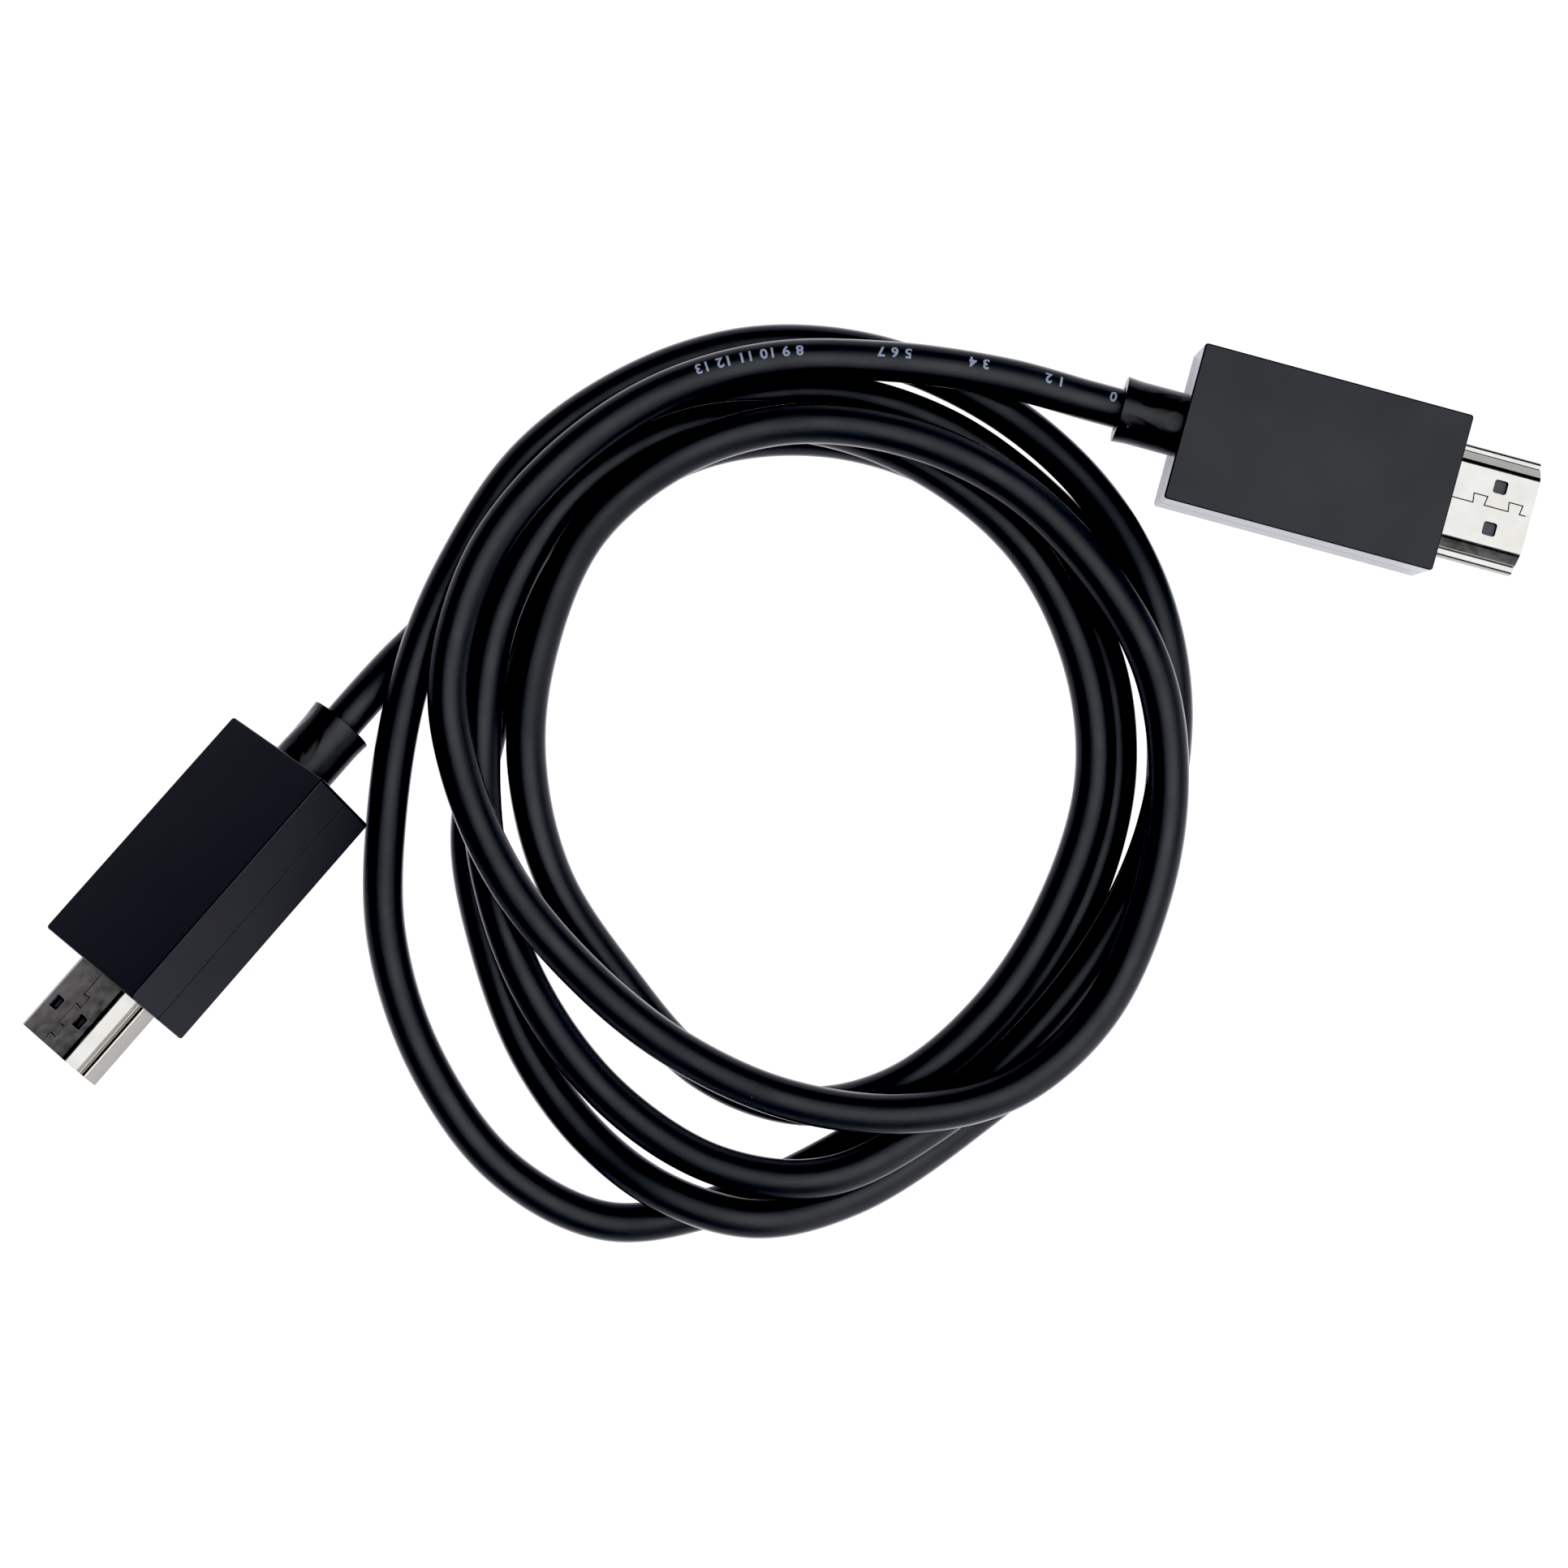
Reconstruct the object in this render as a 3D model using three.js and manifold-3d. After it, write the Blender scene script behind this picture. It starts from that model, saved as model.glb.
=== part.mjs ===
// Audio and video cable: a round jacketed lead, loosely coiled, with a flat metal plug at each end.
// Millimetres, Z up. The origin is under the middle of the two plugs, on the surface they lie on.
import * as THREE from 'three';
import { mergeVertices } from 'three/addons/utils/BufferGeometryUtils.js';
import Module from 'manifold-3d';

const wasm = await Module();
wasm.setup();

// Plug housing, two moulded halves that meet at a parting line
const housingLength = 33.0;
const housingWidth = 19.1;
const housingHeight = 10.3;
const housingCornerRadius = 0.6;
const housingEdge = 0.3;
const partingHeight = 4.95;
const partingGap = 0.3;

// Room left around a piece that is seated in a housing
const seatGap = 0.3;

// Strain relief, a collar held in the rear wall by a flange
const rearWall = 2.0;
const reliefLength = 7.4;
const reliefRootRadius = 3.85;
const reliefLipRadius = 4.0;
const reliefFlangeRadius = 4.3;
const reliefFlangeThickness = 1.6;
const reliefMouthDepth = 1.2;
const reliefEdge = 0.15;
const reliefSides = 28;

// Connector shell, a folded sheet with one long seam on its narrow face
const shellWidth = 13.9;
const shellHeight = 4.45;
const shellSheet = 0.35;
const shellReach = 10.2;
const shellSeat = 8.0;
const shellNarrowWidth = 9.35;
const shellLedgeDepth = 0.95;
const shellLedgeHeight = 2.4;
const shellSlopeStart = 3.0;
const shellBend = 0.45;
const windowSize = 1.6;
const windowSpacing = 5.15;
const windowFromTip = 4.4;
const windowCorner = 0.25;
const seamWidth = 0.12;
const seamTabHeight = 1.1;
const seamTabLength = 1.7;
const seamTabFlare = 0.15;
const seamTabsFromTip = [6.45, 2.1];

// Insulator inside the shell, with the slot that takes the socket's tongue
const insulatorGap = 0.2;
const insulatorSetback = 0.5;
const slotSideRoom = 0.44;
const slotHeight = 2.0;
const slotFloor = 1.05;
const slotDepth = 8.5;

// Contacts, flat springs along both faces of the slot
const contactsOnWideSide = 10;
const contactsOnNarrowSide = 9;
const contactPitch = 1.0;
const contactWidth = 0.42;
const contactThickness = 0.18;
const contactSeat = 0.1;
const contactSetback = 0.9;
const contactCrown = 0.3;
const contactCrownLength = 2.0;

// Cable
const cableDiameter = 4.8;
const cableSides = 10;
const cableSteps = 84;
const cableStraight = 4.0;

// Where each plug lies: its middle on the floor plan, and its turn, nose lift and roll in degrees
const plugAMiddleX = 63.4;
const plugAMiddleY = 38.8;
const plugBMiddleX = -67.8;
const plugBMiddleY = -10.8;
const plugPlaces = {
  a: { x: plugAMiddleX, y: plugAMiddleY, turn: -15.2, lift: 0, roll: 0 },
  b: { x: plugBMiddleX, y: plugBMiddleY, turn: -130, lift: 11, roll: 40.5 },
};

// The cable's way from plug a round the coil to plug b, [x, y, height of its middle]
const cableRoute = [
  [26.5, 48.6, 6.8], [12.5, 50.3, 8.5], [-2, 50, 10], [-15, 46, 11], [-27, 37.5, 11.8],
  [-35.5, 26.5, 12.4], [-39.5, 12.5, 12.8], [-38, 1, 12.5], [-32.5, -11.5, 12.5],
  [-23.5, -22.5, 12], [-13, -31, 12], [0, -37, 12.5], [14, -38.8, 12.7], [27, -35.8, 12.8],
  [37, -27, 12.6], [43, -14, 12.5], [45.3, 0, 12.5], [43.5, 13.3, 12.5], [37, 25, 12.5],
  [27, 35, 12.5], [14, 41, 12.5], [0, 42.3, 12.5], [-12.8, 38.3, 12.2],
  [-23.3, 29.7, 10.5], [-29.3, 16.3, 7.5], [-31, 3, 4.5], [-28, -11, 2.8],
  [-20, -23.5, 2.5], [-10, -34.5, 2.6], [2, -38.8, 3.8], [13.5, -36.1, 6.5],
  [24.5, -27, 7.3], [32.5, -14.5, 7.4], [37, 0, 7.4], [35.8, 14, 7.4], [29, 28, 7.5],
  [17, 38, 7.5], [3, 43, 7.5], [-12, 42.3, 7.3], [-25.3, 34.3, 7.3], [-33.8, 20.3, 7.4],
  [-36.2, 4, 7.5], [-35, -11, 7.4], [-30, -25, 7.3], [-20.5, -37.5, 7.5], [-8, -45.4, 8.4],
  [5, -46.7, 8.9], [18, -40.3, 8], [30, -29.5, 7.5], [39, -17.5, 7.5], [44.5, -5, 7.5],
  [46.4, 9, 7.6], [43.8, 23, 7.2], [36.7, 35.8, 4.6], [25.2, 45.9, 2.7], [11, 52, 2.5],
  [-4, 52.9, 3.2], [-18, 48.2, 5.2], [-30.5, 39, 7.2], [-39, 26, 8.4], [-44.3, 12.5, 9.7],
  [-47.3, -3, 8], [-47.7, -18.5, 5.5], [-43.2, -33.5, 3.5], [-34, -46.4, 2.7],
  [-21.5, -52.9, 2.5], [-8, -51, 2.5], [6, -44.8, 2.5], [17.6, -37.1, 2.5],
  [28.1, -27.6, 2.5], [36.7, -13.2, 2.5], [40.3, 2, 2.5], [38, 17.2, 2.5],
  [28.9, 29.8, 2.5], [18, 38.2, 2.5], [4, 42, 2.5], [-10.5, 40.3, 2.5], [-23, 32.5, 2.5],
  [-31, 20, 2.5], [-36, 6, 2.5], [-38, -7, 2.5], [-35.7, -19.5, 2.6], [-30.7, -32.7, 3],
  [-23.2, -42.6, 4.6], [-14, -49, 7], [-3, -51.9, 7.3], [8.5, -49.4, 4.6],
  [21.9, -40.9, 3], [35.3, -28.8, 2.6], [41.5, -15.5, 2.5], [46, -1, 2.5],
  [45.3, 12.5, 2.5], [39.8, 25, 2.5], [30.7, 35.2, 2.5], [19.7, 43, 2.5], [6.5, 47.2, 2.5],
  [-7, 46.3, 2.5], [-20, 42.4, 2.5], [-31.3, 33.7, 2.5], [-37.5, 25, 2.5],
  [-42.4, 19, 3.3], [-46.5, 14.6, 5.3],
];

// Places along a plug's own length, measured from the middle of its housing
const housingFront = housingLength / 2;
const housingRear = -housingLength / 2;
const shellTip = housingFront + shellReach;
const shellRoot = housingFront - shellSeat;
const insulatorFront = shellTip - insulatorSetback;
const slotEnd = insulatorFront - slotDepth;
const slotWidth = (contactsOnWideSide - 1) * contactPitch + contactWidth + 2 * slotSideRoom;
const slotLow = slotFloor - shellHeight / 2;
const slotHigh = slotLow + slotHeight;
const reliefEnd = housingRear - reliefLength;
const parting = partingHeight - housingHeight / 2;
const cutMargin = 1.0;

const materials = {
  jacket: new THREE.MeshStandardMaterial({ color: 0x2c2f33, roughness: 0.42, metalness: 0 }),
  housing: new THREE.MeshStandardMaterial({ color: 0x32343a, roughness: 0.55, metalness: 0 }),
  relief: new THREE.MeshStandardMaterial({ color: 0x26282c, roughness: 0.5, metalness: 0 }),
  shell: new THREE.MeshStandardMaterial({ color: 0xd8d4cc, roughness: 0.28, metalness: 1 }),
  insulator: new THREE.MeshStandardMaterial({ color: 0x16171a, roughness: 0.5, metalness: 0 }),
  contact: new THREE.MeshStandardMaterial({ color: 0xd9b25f, roughness: 0.3, metalness: 1 }),
};

// A three.js geometry as a solid that can be cut and joined
function toSolid(geometry) {
  const bare = geometry.clone();
  bare.deleteAttribute('normal');
  bare.deleteAttribute('uv');
  const merged = mergeVertices(bare, 1e-5);
  const vertProperties = new Float32Array(merged.attributes.position.array);
  const triVerts = new Uint32Array(merged.index.array);
  return new wasm.Manifold(new wasm.Mesh({ numProp: 3, vertProperties, triVerts }));
}

function toGeometry(solid) {
  const mesh = solid.getMesh();
  const geometry = new THREE.BufferGeometry();
  geometry.setAttribute('position', new THREE.BufferAttribute(mesh.vertProperties, 3));
  geometry.setIndex(new THREE.BufferAttribute(mesh.triVerts, 1));
  geometry.computeVertexNormals();
  return geometry;
}

function namedMesh(name, geometry, material) {
  const mesh = new THREE.Mesh(geometry, material);
  mesh.name = name;
  return mesh;
}

// A box from its lowest to its highest corner
function boxBetween(low, high) {
  const size = high.map((value, axis) => value - low[axis]);
  const middle = high.map((value, axis) => (value + low[axis]) / 2);
  return new THREE.BoxGeometry(...size).translate(...middle);
}

// A prism along the plug: the outline is drawn across it, in width and height
function alongPlug(shape, from, to, curveSegments = 3) {
  const options = { depth: to - from, bevelEnabled: false, curveSegments };
  const geometry = new THREE.ExtrudeGeometry(shape, options);
  const across = new THREE.Matrix4().makeBasis(
    new THREE.Vector3(0, 1, 0),
    new THREE.Vector3(0, 0, 1),
    new THREE.Vector3(1, 0, 0),
  );
  return geometry.applyMatrix4(across).translate(from, 0, 0);
}

// A closed shape through the given corners, each rounded by the given radius
function roundedShape(corners, radius) {
  const shape = new THREE.Shape();
  corners.forEach((corner, i) => {
    const before = corners[(i + corners.length - 1) % corners.length];
    const after = corners[(i + 1) % corners.length];
    const reach = Math.min(radius, 0.48 * corner.distanceTo(before), 0.48 * corner.distanceTo(after));
    const start = corner.clone().add(before.clone().sub(corner).setLength(reach));
    const end = corner.clone().add(after.clone().sub(corner).setLength(reach));
    if (i === 0) shape.moveTo(start.x, start.y);
    else shape.lineTo(start.x, start.y);
    shape.quadraticCurveTo(corner.x, corner.y, end.x, end.y);
  });
  shape.closePath();
  return shape;
}

// The same outline moved inwards, or outwards where the distance is negative
function insetOutline(corners, distance) {
  const lines = corners.map((corner, i) => {
    const along = corners[(i + 1) % corners.length].clone().sub(corner).normalize();
    const inward = new THREE.Vector2(-along.y, along.x);
    return { point: corner.clone().addScaledVector(inward, distance), along };
  });
  return lines.map((line, i) => {
    const previous = lines[(i + lines.length - 1) % lines.length];
    const between = line.point.clone().sub(previous.point);
    const reach = between.cross(line.along) / previous.along.cross(line.along);
    return previous.point.clone().addScaledVector(previous.along, reach);
  });
}

// The connector's outline: upright sides, a ledge, then a slope up to the narrow face
function shellOutline() {
  const bottom = -shellHeight / 2;
  const right = [
    [shellWidth / 2, bottom],
    [shellWidth / 2, bottom + shellLedgeHeight],
    [shellWidth / 2 - shellLedgeDepth, bottom + shellLedgeHeight],
    [shellWidth / 2 - shellLedgeDepth, bottom + shellSlopeStart],
    [shellNarrowWidth / 2, shellHeight / 2],
  ];
  const left = right.map(([y, z]) => [-y, z]).reverse();
  return [...right, ...left].map(([y, z]) => new THREE.Vector2(y, z));
}

function housingBlock() {
  const length = housingLength - 2 * housingEdge;
  const width = housingWidth - 2 * housingEdge;
  const corners = [[-1, -1], [1, -1], [1, 1], [-1, 1]].map(
    ([x, y]) => new THREE.Vector2(x * length / 2, y * width / 2),
  );
  const block = new THREE.ExtrudeGeometry(roundedShape(corners, housingCornerRadius), {
    depth: housingHeight - 2 * housingEdge,
    bevelThickness: housingEdge,
    bevelSize: housingEdge,
    bevelSegments: 2,
    curveSegments: 4,
  });
  return toSolid(block.translate(0, 0, housingEdge - housingHeight / 2));
}

// Turned solid about the plug's length, from a list of [place along the plug, radius]
function turned(profile, sides) {
  const points = profile.map(([place, radius]) => new THREE.Vector2(radius, place));
  const geometry = new THREE.LatheGeometry(points, sides);
  return geometry.rotateZ(-Math.PI / 2);
}

function reliefRoom() {
  const flangeFront = housingRear + rearWall + reliefFlangeThickness + 2 * seatGap;
  const neckRadius = reliefRootRadius + seatGap;
  const flangeRadius = reliefFlangeRadius + seatGap;
  return toSolid(turned([
    [housingRear - cutMargin, 0],
    [housingRear - cutMargin, neckRadius],
    [housingRear + rearWall, neckRadius],
    [housingRear + rearWall, flangeRadius],
    [flangeFront, flangeRadius],
    [flangeFront, 0],
  ], reliefSides));
}

function shellRoom() {
  const outline = insetOutline(shellOutline(), -seatGap);
  const shape = roundedShape(outline, shellBend);
  return toSolid(alongPlug(shape, shellRoot - seatGap, housingFront + cutMargin));
}

function housingHalves() {
  const hollowed = housingBlock().subtract(reliefRoom()).subtract(shellRoom());
  const reach = housingLength;
  const above = boxBetween([-reach, -reach, parting + partingGap / 2], [reach, reach, reach]);
  const below = boxBetween([-reach, -reach, -reach], [reach, reach, parting - partingGap / 2]);
  return {
    top: toGeometry(hollowed.intersect(toSolid(above))),
    bottom: toGeometry(hollowed.intersect(toSolid(below))),
  };
}

// The collar: flange and neck inside the housing, flared body outside, a shallow mouth for the cable
function strainRelief() {
  const flangeBack = housingRear + rearWall + seatGap;
  const flangeFront = flangeBack + reliefFlangeThickness;
  const mouthRadius = cableDiameter / 2 + seatGap;
  return turned([
    [reliefEnd + reliefMouthDepth, 0],
    [reliefEnd + reliefMouthDepth, mouthRadius],
    [reliefEnd, mouthRadius],
    [reliefEnd, reliefLipRadius - reliefEdge],
    [reliefEnd + reliefEdge, reliefLipRadius],
    [housingRear - reliefLength / 3, reliefRootRadius],
    [flangeBack, reliefRootRadius],
    [flangeBack, reliefFlangeRadius],
    [flangeFront, reliefFlangeRadius],
    [flangeFront, 0],
  ], reliefSides);
}

// Where the folded sheet's two edges meet: a thin slit with two flared tabs
function seamSlit() {
  const stops = [[shellRoot - cutMargin, 0]];
  for (const fromTip of seamTabsFromTip) {
    const middle = shellTip - fromTip;
    const foot = seamTabLength / 2 - seamTabFlare;
    const head = seamTabLength / 2;
    stops.push([middle - foot, 0], [middle - head, seamTabHeight]);
    stops.push([middle + head, seamTabHeight], [middle + foot, 0]);
  }
  stops.push([shellTip + cutMargin, 0]);
  const height = 4 * shellSheet;
  const level = shellHeight / 2;
  let slit = null;
  for (let i = 1; i < stops.length; i += 1) {
    const start = new THREE.Vector2(...stops[i - 1]);
    const run = new THREE.Vector2(...stops[i]).sub(start);
    const length = run.length() + seamWidth;
    const bar = new THREE.BoxGeometry(length, seamWidth, height);
    bar.rotateZ(run.angle());
    const middle = start.addScaledVector(run, 0.5);
    const solid = toSolid(bar.translate(middle.x, middle.y, level));
    slit = slit ? slit.add(solid) : solid;
  }
  return slit;
}

function latchWindow(side) {
  const half = windowSize / 2;
  const corners = [[-1, -1], [1, -1], [1, 1], [-1, 1]].map(
    ([x, y]) => new THREE.Vector2(x * half, y * half),
  );
  const depth = 4 * shellSheet;
  const prism = new THREE.ExtrudeGeometry(roundedShape(corners, windowCorner), {
    depth,
    bevelEnabled: false,
    curveSegments: 3,
  });
  const place = [shellTip - windowFromTip, side * windowSpacing / 2, shellHeight / 2 - depth / 2];
  return toSolid(prism.translate(...place));
}

function connectorShell() {
  const outer = roundedShape(shellOutline(), shellBend);
  const inner = roundedShape(insetOutline(shellOutline(), shellSheet), shellBend - shellSheet / 2);
  const tube = toSolid(alongPlug(outer, shellRoot, shellTip))
    .subtract(toSolid(alongPlug(inner, shellRoot - cutMargin, shellTip + cutMargin)));
  const cut = tube.subtract(seamSlit()).subtract(latchWindow(1)).subtract(latchWindow(-1));
  return toGeometry(cut);
}

function insulator() {
  const outline = insetOutline(shellOutline(), shellSheet + insulatorGap);
  const body = toSolid(alongPlug(roundedShape(outline, shellBend / 2), shellRoot, insulatorFront));
  const slot = boxBetween(
    [slotEnd, -slotWidth / 2, slotLow],
    [insulatorFront + cutMargin, slotWidth / 2, slotHigh],
  );
  return toGeometry(body.subtract(toSolid(slot)));
}

// One contact: a flat strip with a raised crown near its front, lying on the slot's face
function contact(y, facing) {
  const back = slotEnd + contactSeat;
  const front = insulatorFront - contactSetback;
  const crown = front - contactCrownLength;
  const face = facing > 0 ? slotLow : -slotHigh;
  const low = face + contactSeat;
  const high = low + contactThickness;
  const shape = new THREE.Shape();
  shape.moveTo(back, low);
  shape.lineTo(front, low);
  shape.lineTo(front, high);
  shape.quadraticCurveTo(front - contactCrownLength / 2, high + 2 * contactCrown, crown, high);
  shape.lineTo(back, high);
  shape.closePath();
  const strip = new THREE.ExtrudeGeometry(shape, {
    depth: contactWidth,
    bevelEnabled: false,
    curveSegments: 4,
  });
  strip.rotateX(Math.PI / 2).translate(0, contactWidth / 2, 0);
  if (facing < 0) strip.rotateX(Math.PI);
  return strip.translate(0, y, 0);
}

function buildPlug(letter) {
  const plug = new THREE.Group();
  const halves = housingHalves();
  plug.add(namedMesh(`housing_top_${letter}`, halves.top, materials.housing));
  plug.add(namedMesh(`housing_bottom_${letter}`, halves.bottom, materials.housing));
  plug.add(namedMesh(`strain_relief_${letter}`, strainRelief(), materials.relief));
  plug.add(namedMesh(`connector_shell_${letter}`, connectorShell(), materials.shell));
  plug.add(namedMesh(`insulator_${letter}`, insulator(), materials.insulator));
  const rows = [
    { count: contactsOnWideSide, facing: 1 },
    { count: contactsOnNarrowSide, facing: -1 },
  ];
  let number = 1;
  for (const { count, facing } of rows) {
    for (let i = 0; i < count; i += 1) {
      const y = (i - (count - 1) / 2) * contactPitch;
      const name = `contact_${letter}_${String(number).padStart(2, '0')}`;
      plug.add(namedMesh(name, contact(y, facing), materials.contact));
      number += 1;
    }
  }
  return plug;
}

// Turns the plug and sets it down with its lowest point on the floor
function layPlug(plug, place) {
  const [turn, lift, roll] = [place.turn, place.lift, place.roll].map(THREE.MathUtils.degToRad);
  plug.rotation.set(roll, -lift, turn, 'ZYX');
  plug.position.set(place.x, place.y, 0);
  const bounds = new THREE.Box3().setFromObject(plug, true);
  plug.position.z = -bounds.min.z;
  plug.updateMatrixWorld(true);
}

function placeOnPlug(plug, alongLength) {
  return plug.localToWorld(new THREE.Vector3(alongLength, 0, 0));
}

function buildCable(plugA, plugB) {
  const inMouth = reliefEnd + reliefMouthDepth - seatGap;
  const outOfMouth = reliefEnd - cableStraight;
  const points = [
    placeOnPlug(plugA, inMouth),
    placeOnPlug(plugA, outOfMouth),
    ...cableRoute.map((point) => new THREE.Vector3(...point)),
    placeOnPlug(plugB, outOfMouth),
    placeOnPlug(plugB, inMouth),
  ];
  const section = new THREE.Shape();
  for (let i = 0; i < cableSides; i += 1) {
    const angle = (i / cableSides) * 2 * Math.PI;
    const x = cableDiameter / 2 * Math.cos(angle);
    const y = cableDiameter / 2 * Math.sin(angle);
    if (i === 0) section.moveTo(x, y);
    else section.lineTo(x, y);
  }
  section.closePath();
  const path = new THREE.CatmullRomCurve3(points);
  path.arcLengthDivisions = 12 * points.length;
  const tube = new THREE.ExtrudeGeometry(section, { steps: cableSteps, extrudePath: path });
  return namedMesh('cable', tube, materials.jacket);
}

const group = new THREE.Group();
const plugA = buildPlug('a');
const plugB = buildPlug('b');
layPlug(plugA, plugPlaces.a);
layPlug(plugB, plugPlaces.b);
group.add(plugA, plugB);

// The origin goes under the middle of the two plugs
const plugBounds = new THREE.Box3().setFromObject(group, true);
const plugMiddle = plugBounds.getCenter(new THREE.Vector3());
group.add(buildCable(plugA, plugB));
group.position.set(-plugMiddle.x, -plugMiddle.y, 0);

export default group;
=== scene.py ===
# Audio and video cable: a round black lead, loosely coiled, with a flat metal plug at each end.
import math

import bmesh
import bpy
from mathutils import Matrix, Vector


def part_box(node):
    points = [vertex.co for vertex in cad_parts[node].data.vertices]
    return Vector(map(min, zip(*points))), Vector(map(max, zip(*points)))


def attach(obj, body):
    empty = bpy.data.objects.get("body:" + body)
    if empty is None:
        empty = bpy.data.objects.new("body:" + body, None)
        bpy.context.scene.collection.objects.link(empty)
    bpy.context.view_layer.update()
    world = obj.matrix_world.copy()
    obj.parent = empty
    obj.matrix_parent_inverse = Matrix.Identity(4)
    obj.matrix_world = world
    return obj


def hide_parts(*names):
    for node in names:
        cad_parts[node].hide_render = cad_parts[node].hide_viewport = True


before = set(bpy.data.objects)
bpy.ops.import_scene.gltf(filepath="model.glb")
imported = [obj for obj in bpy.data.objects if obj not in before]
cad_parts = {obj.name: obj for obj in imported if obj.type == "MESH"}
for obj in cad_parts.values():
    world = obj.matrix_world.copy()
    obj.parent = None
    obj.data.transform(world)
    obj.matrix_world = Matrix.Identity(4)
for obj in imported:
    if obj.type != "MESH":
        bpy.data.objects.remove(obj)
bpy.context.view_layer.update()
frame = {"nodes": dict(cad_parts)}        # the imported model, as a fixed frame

scene = bpy.context.scene


# Where each plug lies: its middle on the floor plan, and its turn, nose lift and roll in degrees
plugs = {
    "a": {"middle": (0.0634, 0.0388), "turn": -15.2, "lift": 0.0, "roll": 0.0},
    "b": {"middle": (-0.0678, -0.0108), "turn": -130.0, "lift": 11.0, "roll": 40.5},
}


def housingMiddle(letter):
    lows, highs = zip(*[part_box(f"housing_{half}_{letter}") for half in ("top", "bottom")])
    low = Vector([min(a, b) for a, b in zip(*lows)])
    high = Vector([max(a, b) for a, b in zip(*highs)])
    return (low + high) / 2


def plugTurn(plug):
    turn, lift, roll = (math.radians(plug[word]) for word in ("turn", "lift", "roll"))
    flat = Matrix.Rotation(turn, 4, "Z")
    return flat @ Matrix.Rotation(-lift, 4, "Y") @ Matrix.Rotation(roll, 4, "X")


for letter, plug in plugs.items():
    plug["place"] = Matrix.Translation(housingMiddle(letter)) @ plugTurn(plug)

# From the plan that the route is drawn on to the part's own origin
planShift = Vector((housingMiddle("a") - Vector((*plugs["a"]["middle"], 0))).xy.to_3d())


# Camera, straight above the coil
cameraView = {"over": (-0.000891, -0.008734), "height": 0.368, "lens": 69.33, "sensor": 36.0}

bpy.ops.object.camera_add(location=(*cameraView["over"], cameraView["height"]), rotation=(0, 0, 0))
camera = bpy.context.object
camera.name = "viewCamera"
camera.data.sensor_width = cameraView["sensor"]
camera.data.lens = cameraView["lens"]
camera.data.clip_start, camera.data.clip_end = 0.01, 20
scene.camera = camera
print("camera ready")


# Tools for picking and cutting
def dropSelection():
    if bpy.context.mode != "OBJECT":
        bpy.ops.object.mode_set(mode="OBJECT")
    bpy.ops.object.select_all(action="DESELECT")


def takePiece(piece):
    dropSelection()
    piece.select_set(True)
    bpy.context.view_layer.objects.active = piece


def newPiece(name):
    piece = bpy.context.object
    piece.name = piece.data.name = name
    return piece


def startEdit(piece):
    takePiece(piece)
    bpy.ops.object.mode_set(mode="EDIT")


def endEdit():
    bpy.ops.object.mode_set(mode="OBJECT")


def pickFaces(piece, test):
    bpy.ops.mesh.select_mode(type="FACE")
    bpy.ops.mesh.select_all(action="DESELECT")
    shape = bmesh.from_edit_mesh(piece.data)
    for face in shape.faces:
        face.select_set(bool(test(face)))
    bmesh.update_edit_mesh(piece.data)


def pickEdges(piece, test):
    bpy.ops.mesh.select_mode(type="EDGE")
    bpy.ops.mesh.select_all(action="DESELECT")
    shape = bmesh.from_edit_mesh(piece.data)
    for edge in shape.edges:
        edge.select_set(bool(test(edge)))
    bmesh.update_edit_mesh(piece.data)


def runsAlong(edge, axis):
    way = edge.verts[1].co - edge.verts[0].co
    return abs(way[axis]) > 0.999 * way.length


def bothAt(edge, axis, place):
    return all(abs(vert.co[axis] - place) < 1e-7 for vert in edge.verts)


def useModifier(piece, kind, **values):
    takePiece(piece)
    modifier = piece.modifiers.new(kind.title(), kind)
    for word, value in values.items():
        setattr(modifier, word, value)
    bpy.ops.object.modifier_apply(modifier=modifier.name)


def cutWith(piece, cutter):
    useModifier(piece, "BOOLEAN", operation="DIFFERENCE", solver="EXACT", object=cutter)
    bpy.data.objects.remove(cutter)


def smoothPiece(piece, degrees=35):
    takePiece(piece)
    bpy.ops.object.shade_smooth_by_angle(angle=math.radians(degrees))


def copyPiece(piece, name):
    takePiece(piece)
    bpy.ops.object.duplicate(linked=False)
    return newPiece(name)


def layPiece(piece, letter, slot, *nodes):
    piece.data.transform(plugs[letter]["place"])
    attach(piece, "root")
    if nodes:
        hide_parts(*nodes)


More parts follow.
